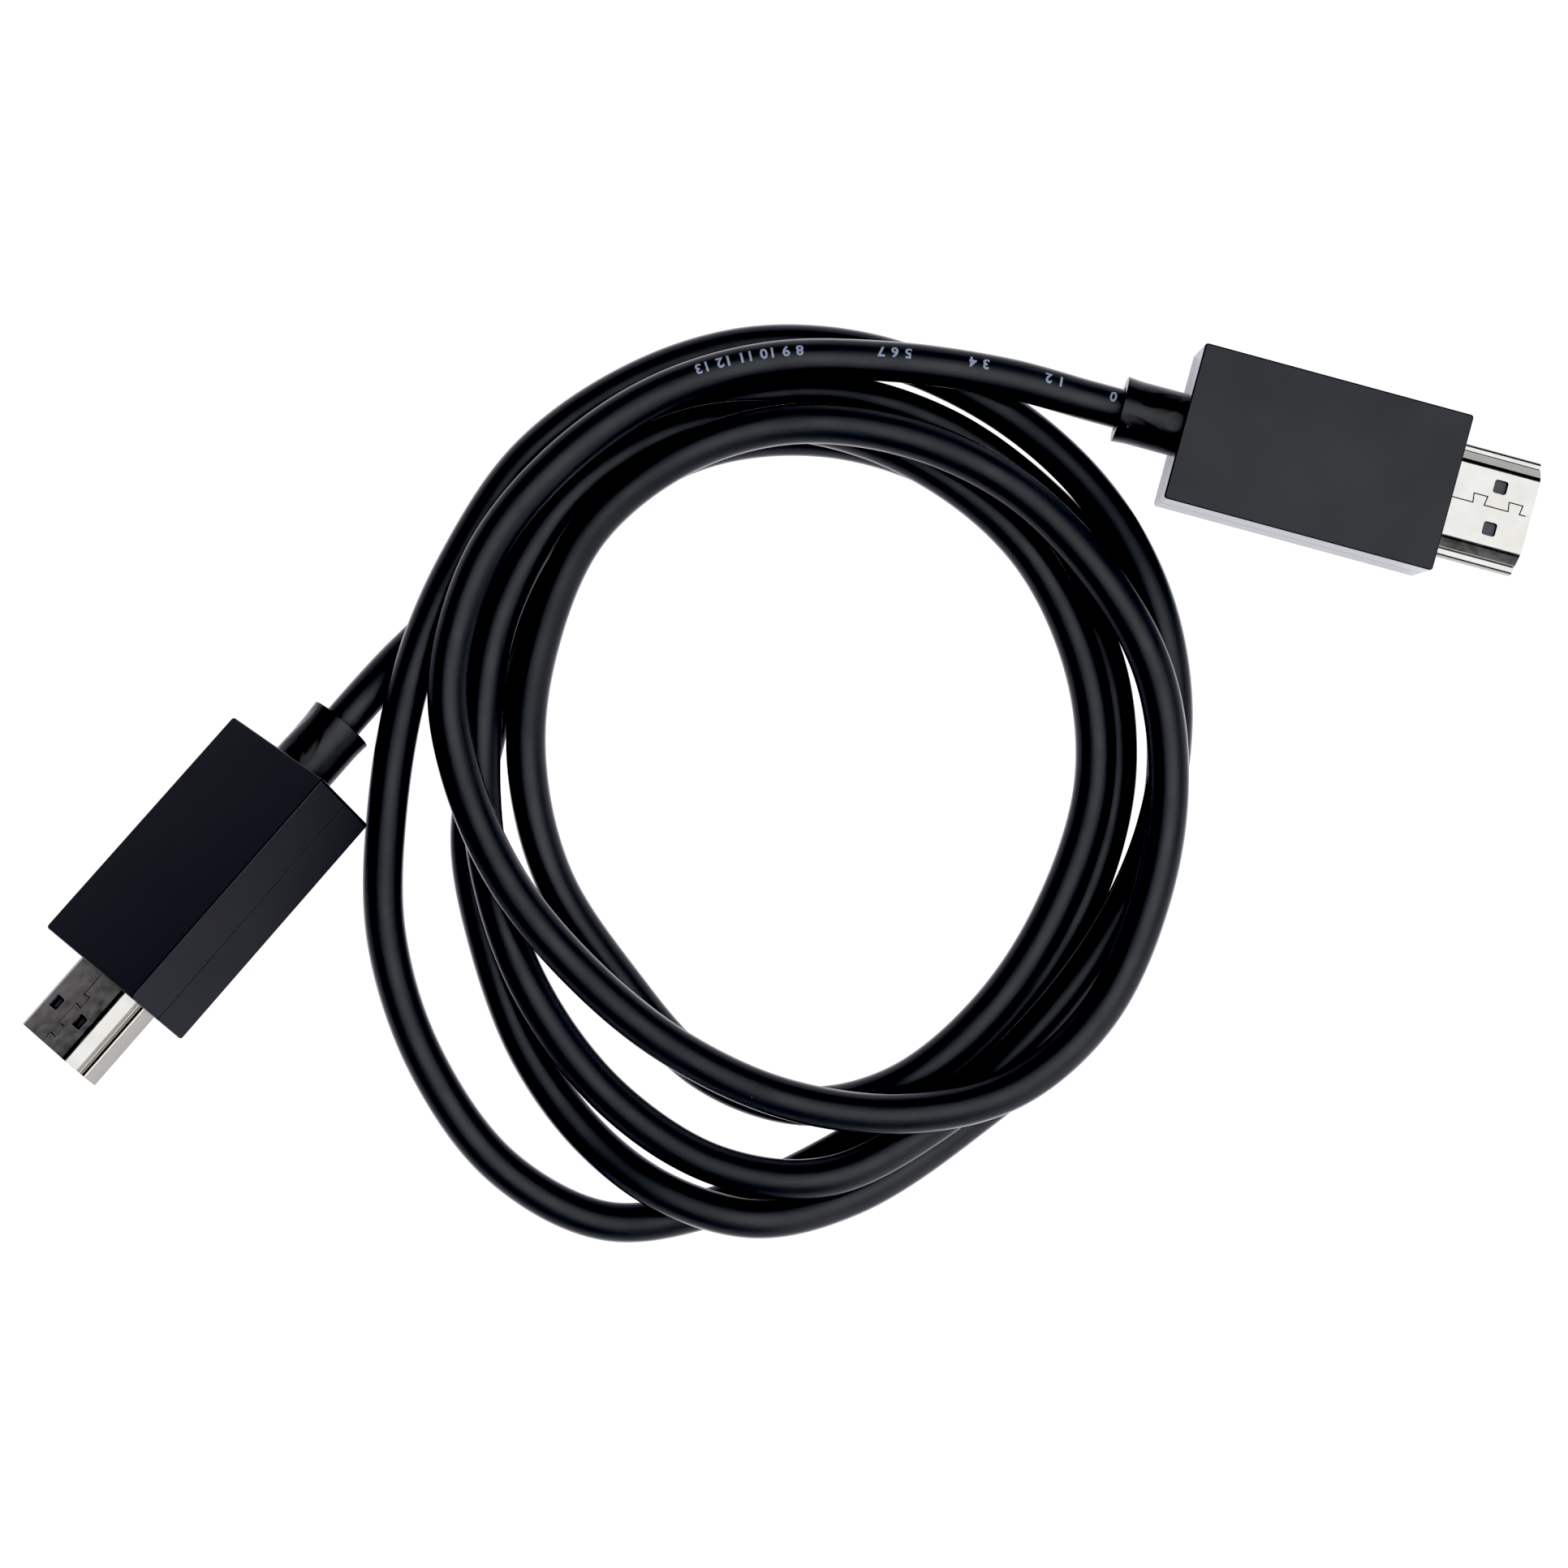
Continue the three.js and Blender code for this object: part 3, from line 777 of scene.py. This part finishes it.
def placeGroup(tree, group, vector, **values):
    node = addNode(tree, "ShaderNodeGroup", node_tree=group)
    tree.links.new(vector, node.inputs["Vector"])
    for word, value in values.items():
        node.inputs[word.title()].default_value = value
    return node.outputs[0]


def mixColours(tree, mask, first, second):
    node = addNode(tree, "ShaderNodeMix", data_type="RGBA")
    sockets = [socket for socket in node.inputs if socket.type == "RGBA"]
    sockets[0].default_value, sockets[1].default_value = (*first, 1), (*second, 1)
    tree.links.new(mask, node.inputs["Factor"])
    return next(socket for socket in node.outputs if socket.type == "RGBA")


def bumpFrom(tree, shader, height, strength, distance):
    bump = addNode(tree, "ShaderNodeBump")
    bump.inputs["Strength"].default_value = strength
    bump.inputs["Distance"].default_value = distance
    tree.links.new(height, bump.inputs["Height"])
    tree.links.new(bump.outputs[0], shader.inputs["Normal"])


def roughFrom(tree, shader, rough, least):
    # seen along its surface, moulded plastic looks glossier
    weight = addNode(tree, "ShaderNodeLayerWeight")
    weight.inputs["Blend"].default_value = 0.5
    edge = addNode(tree, "ShaderNodeMapRange")
    edge.inputs["From Min"].default_value = 0.5
    edge.inputs["From Max"].default_value = 0.85
    tree.links.new(weight.outputs["Facing"], edge.inputs["Value"])
    edge.inputs["To Min"].default_value = 1.0
    edge.inputs["To Max"].default_value = least
    tree.links.new(mathNode(tree, "MULTIPLY", rough, edge.outputs[0]), shader.inputs["Roughness"])
    tree.links.new(mathNode(tree, "SUBTRACT", 1.0, edge.outputs[0]), shader.inputs["Coat Weight"])
    shader.inputs["Coat Roughness"].default_value = 0.08


def mouldedFinish(name, look, lines=None):
    # dusty black plastic: specks, an uneven sheen and a moulded grain
    material, tree, shader, place = newFinish(name)
    spot = place.outputs["Object"]
    specks = placeGroup(tree, dust, spot, **look["dust"])
    shade = mixColours(tree, specks, look["colour"], look["speck"])
    tree.links.new(shade, shader.inputs["Base Color"])
    sheen = placeGroup(tree, patches, spot, **look["sheen"])
    roughFrom(tree, shader, sheen, look["alongShare"])
    height = placeGroup(tree, grain, spot, **look["grain"])
    if lines:
        height = mathNode(tree, "ADD", lines(tree, place.outputs["UV"]), height)
    bumpFrom(tree, shader, height, **look["bump"])
    shader.inputs["Specular IOR Level"].default_value = look["specular"]
    return material


def shadedFinish(name, look):
    # two colours in soft patches, with an uneven sheen and some grain
    material, tree, shader, place = newFinish(name)
    spot = place.outputs["Object"]
    wear = placeGroup(tree, patches, spot, **look["wear"])
    tree.links.new(mixColours(tree, wear, *look["colours"]), shader.inputs["Base Color"])
    sheen = placeGroup(tree, patches, spot, **look["sheen"])
    tree.links.new(sheen, shader.inputs["Roughness"])
    if "grain" in look:
        pits = placeGroup(tree, grain, spot, **look["grain"])
        bumpFrom(tree, shader, pits, **look["bump"])
    shader.inputs["Metallic"].default_value = look["metallic"]
    return material


# The jacket, with the faint lines that the die leaves along it
jacketLook = {
    "colour": (0.0095, 0.0112, 0.0150),
    "speck": (0.16, 0.17, 0.18),
    "dust": {"scale": 420.0, "share": 0.035, "size": 0.11},
    "sheen": {"scale": 190.0, "low": 0.46, "high": 0.54},
    "alongShare": 0.15,         # the share of roughness left where it is seen along its surface
    "grain": {"fine": 5200.0, "slow": 330.0, "swell": 3.0},
    "bump": {"strength": 0.25, "distance": 0.00003},
    "specular": 0.62,
    "lineStretch": (14.0, 1.4, 1.0),
    "lineScale": 2.0,
    "lineWeight": 2.2,
}


def dieLines(tree, jacketMap):
    drawn = addNode(tree, "ShaderNodeMapping")
    drawn.inputs["Scale"].default_value = jacketLook["lineStretch"]
    tree.links.new(jacketMap, drawn.inputs["Vector"])
    lines = addNode(tree, "ShaderNodeTexNoise")
    lines.inputs["Scale"].default_value = jacketLook["lineScale"]
    lines.inputs["Detail"].default_value = 3.0
    tree.links.new(drawn.outputs[0], lines.inputs["Vector"])
    return mathNode(tree, "MULTIPLY", lines.outputs[0], jacketLook["lineWeight"])


# Worn pale ink of the numbers
inkLook = {
    "colours": ((0.30, 0.34, 0.46), (0.52, 0.58, 0.76)),
    "wear": {"scale": 5200.0, "low": 0.0, "high": 1.0},
    "sheen": {"scale": 900.0, "low": 0.5, "high": 0.7},
    "metallic": 0.0,
}

# Fine matte plastic of the housings
housingLook = {
    "colour": (0.0112, 0.0124, 0.0172),
    "speck": (0.12, 0.12, 0.13),
    "dust": {"scale": 300.0, "share": 0.03, "size": 0.06},
    "sheen": {"scale": 90.0, "low": 0.40, "high": 0.46},
    "alongShare": 0.15,
    "grain": {"fine": 7000.0, "slow": 500.0, "swell": 0.3},
    "bump": {"strength": 0.12, "distance": 0.00002},
    "specular": 0.46,
}

# Satin plastic of the collars
collarLook = {
    "colour": (0.006, 0.0065, 0.0078),
    "speck": (0.14, 0.14, 0.15),
    "dust": {"scale": 700.0, "share": 0.05, "size": 0.12},
    "sheen": {"scale": 420.0, "low": 0.36, "high": 0.48},
    "alongShare": 0.3,
    "grain": {"fine": 4000.0, "slow": 420.0, "swell": 5.0},
    "bump": {"strength": 0.3, "distance": 0.00003},
    "specular": 0.5,
}

# Bright nickel plate, a little smudged
nickelLook = {
    "colours": ((0.44, 0.425, 0.40), (0.36, 0.34, 0.31)),
    "wear": {"scale": 260.0, "low": 0.0, "high": 0.5},
    "sheen": {"scale": 700.0, "low": 0.14, "high": 0.24},
    "grain": {"fine": 5200.0, "slow": 900.0, "swell": 2.0},
    "bump": {"strength": 0.07, "distance": 0.00002},
    "metallic": 1.0,
}

# Black plastic inside the shell
insulatorLook = {
    "colours": ((0.030, 0.031, 0.042), (0.045, 0.046, 0.062)),
    "wear": {"scale": 600.0, "low": 0.0, "high": 1.0},
    "sheen": {"scale": 500.0, "low": 0.28, "high": 0.4},
    "grain": {"fine": 6000.0, "slow": 900.0, "swell": 1.0},
    "bump": {"strength": 0.15, "distance": 0.00002},
    "metallic": 0.0,
}

# Gold plate of the contacts
contactLook = {
    "colours": ((0.80, 0.57, 0.24), (0.68, 0.45, 0.17)),
    "wear": {"scale": 1500.0, "low": 0.0, "high": 1.0},
    "sheen": {"scale": 2500.0, "low": 0.2, "high": 0.34},
    "metallic": 1.0,
}


def setFinish(piece, material):
    piece.data.materials.clear()
    piece.data.materials.append(material)


nodes = frame["nodes"]
insulators = [nodes[f"insulator_{letter}"] for letter in "ab"]
contacts = [piece for name, piece in nodes.items() if name.startswith("contact")]
for pieces, material in (
    ([cableJacket], mouldedFinish("satinJacket", jacketLook, dieLines)),
    ([jacketMarks], shadedFinish("paleInk", inkLook)),
    (dressed["housing"], mouldedFinish("matteHousing", housingLook)),
    (dressed["collar"], mouldedFinish("satinCollar", collarLook)),
    (dressed["shell"], shadedFinish("brightNickel", nickelLook)),
    (insulators, shadedFinish("blackInsulator", insulatorLook)),
    (contacts, shadedFinish("goldContact", contactLook)),
):
    for piece in pieces:
        setFinish(piece, material)
print("finishes set")


# Floor, light and sky
studio = {
    "floorSize": 6.0,
    "floorWhite": 1.1,          # what the camera sees
    "floorColour": 0.9,         # what the light falls on
    "floorGlow": 0.45,          # what the floor gives of itself, as paper lit evenly all round
    "glowColour": (0.92, 0.89, 1.0),
    "skyWhite": 1.0,
    "skyLow": 0.045,
    "skyColour": (0.9, 0.94, 1.0),
    "boxHeight": 0.9,
    "boxSize": 1.05,
    "boxAside": (0.26, -0.10),
    "boxRadiance": 2.15,
    "boxColour": (0.94, 0.97, 1.0),
    "cardSize": 0.9,            # a bright card standing at the lower right
    "cardPlace": (0.80, -0.80, 0.20),
    "cardRadiance": 1.2,
    "cardColour": (1.0, 0.98, 1.0),
    "blackLevel": 0.021,
}


def makeFloor():
    dropSelection()
    bpy.ops.mesh.primitive_plane_add(size=studio["floorSize"], location=(0, 0, -0.0001))
    floor = newPiece("paleFloor")
    material = bpy.data.materials.new("paleFloor")
    material.use_nodes = True
    tree = material.node_tree
    tree.nodes.clear()
    out = addNode(tree, "ShaderNodeOutputMaterial")
    mix = addNode(tree, "ShaderNodeMixShader")
    seen = addNode(tree, "ShaderNodeLightPath")
    lit = addNode(tree, "ShaderNodeBsdfDiffuse")
    lit.inputs["Color"].default_value = (*[studio["floorColour"]] * 3, 1)
    white = addNode(tree, "ShaderNodeEmission")
    white.inputs["Strength"].default_value = studio["floorWhite"]
    glow = addNode(tree, "ShaderNodeEmission")
    both = addNode(tree, "ShaderNodeAddShader")
    glow.inputs["Color"].default_value = (*studio["glowColour"], 1)
    glow.inputs["Strength"].default_value = studio["floorGlow"]
    tree.links.new(lit.outputs[0], both.inputs[0])
    tree.links.new(glow.outputs[0], both.inputs[1])
    tree.links.new(seen.outputs["Is Camera Ray"], mix.inputs[0])
    tree.links.new(both.outputs[0], mix.inputs[1])
    tree.links.new(white.outputs[0], mix.inputs[2])
    tree.links.new(mix.outputs[0], out.inputs["Surface"])
    setFinish(floor, material)


def makeSky():
    world = bpy.data.worlds.new("studioSky")
    scene.world = world
    world.use_nodes = True
    tree = world.node_tree
    tree.nodes.clear()
    out = addNode(tree, "ShaderNodeOutputWorld")
    mix = addNode(tree, "ShaderNodeMixShader")
    seen = addNode(tree, "ShaderNodeLightPath")
    dim, white = addNode(tree, "ShaderNodeBackground"), addNode(tree, "ShaderNodeBackground")
    dim.inputs["Color"].default_value = (*studio["skyColour"], 1)
    dim.inputs["Strength"].default_value = studio["skyLow"]
    white.inputs["Color"].default_value = (1, 1, 1, 1)
    white.inputs["Strength"].default_value = studio["skyWhite"]
    tree.links.new(seen.outputs["Is Camera Ray"], mix.inputs[0])
    tree.links.new(dim.outputs[0], mix.inputs[1])
    tree.links.new(white.outputs[0], mix.inputs[2])
    tree.links.new(mix.outputs[0], out.inputs["Surface"])


def softBox(name, place, towards, size, radiance, colour):
    bpy.ops.object.light_add(type="AREA", location=place)
    lamp = newPiece(name)
    lamp.data.shape = "SQUARE"
    lamp.data.size = size
    lamp.data.energy = radiance * math.pi * size * size
    lamp.data.color = colour
    lamp.rotation_mode = "QUATERNION"
    lamp.rotation_quaternion = (Vector(towards) - Vector(place)).to_track_quat("-Z", "Y")
    lamp.visible_camera = False


makeFloor()
makeSky()
softBox("topBox", (*studio["boxAside"], studio["boxHeight"]), (0, 0, 0),
        studio["boxSize"], studio["boxRadiance"], studio["boxColour"])
softBox("sideCard", studio["cardPlace"], (0, 0, 0.02),
        studio["cardSize"], studio["cardRadiance"], studio["cardColour"])
scene.view_settings.view_transform = "Standard"
scene.view_settings.use_curve_mapping = True
scene.view_settings.curve_mapping.black_level = [studio["blackLevel"]] * 3
scene.view_settings.curve_mapping.update()
print("floor and lights set")
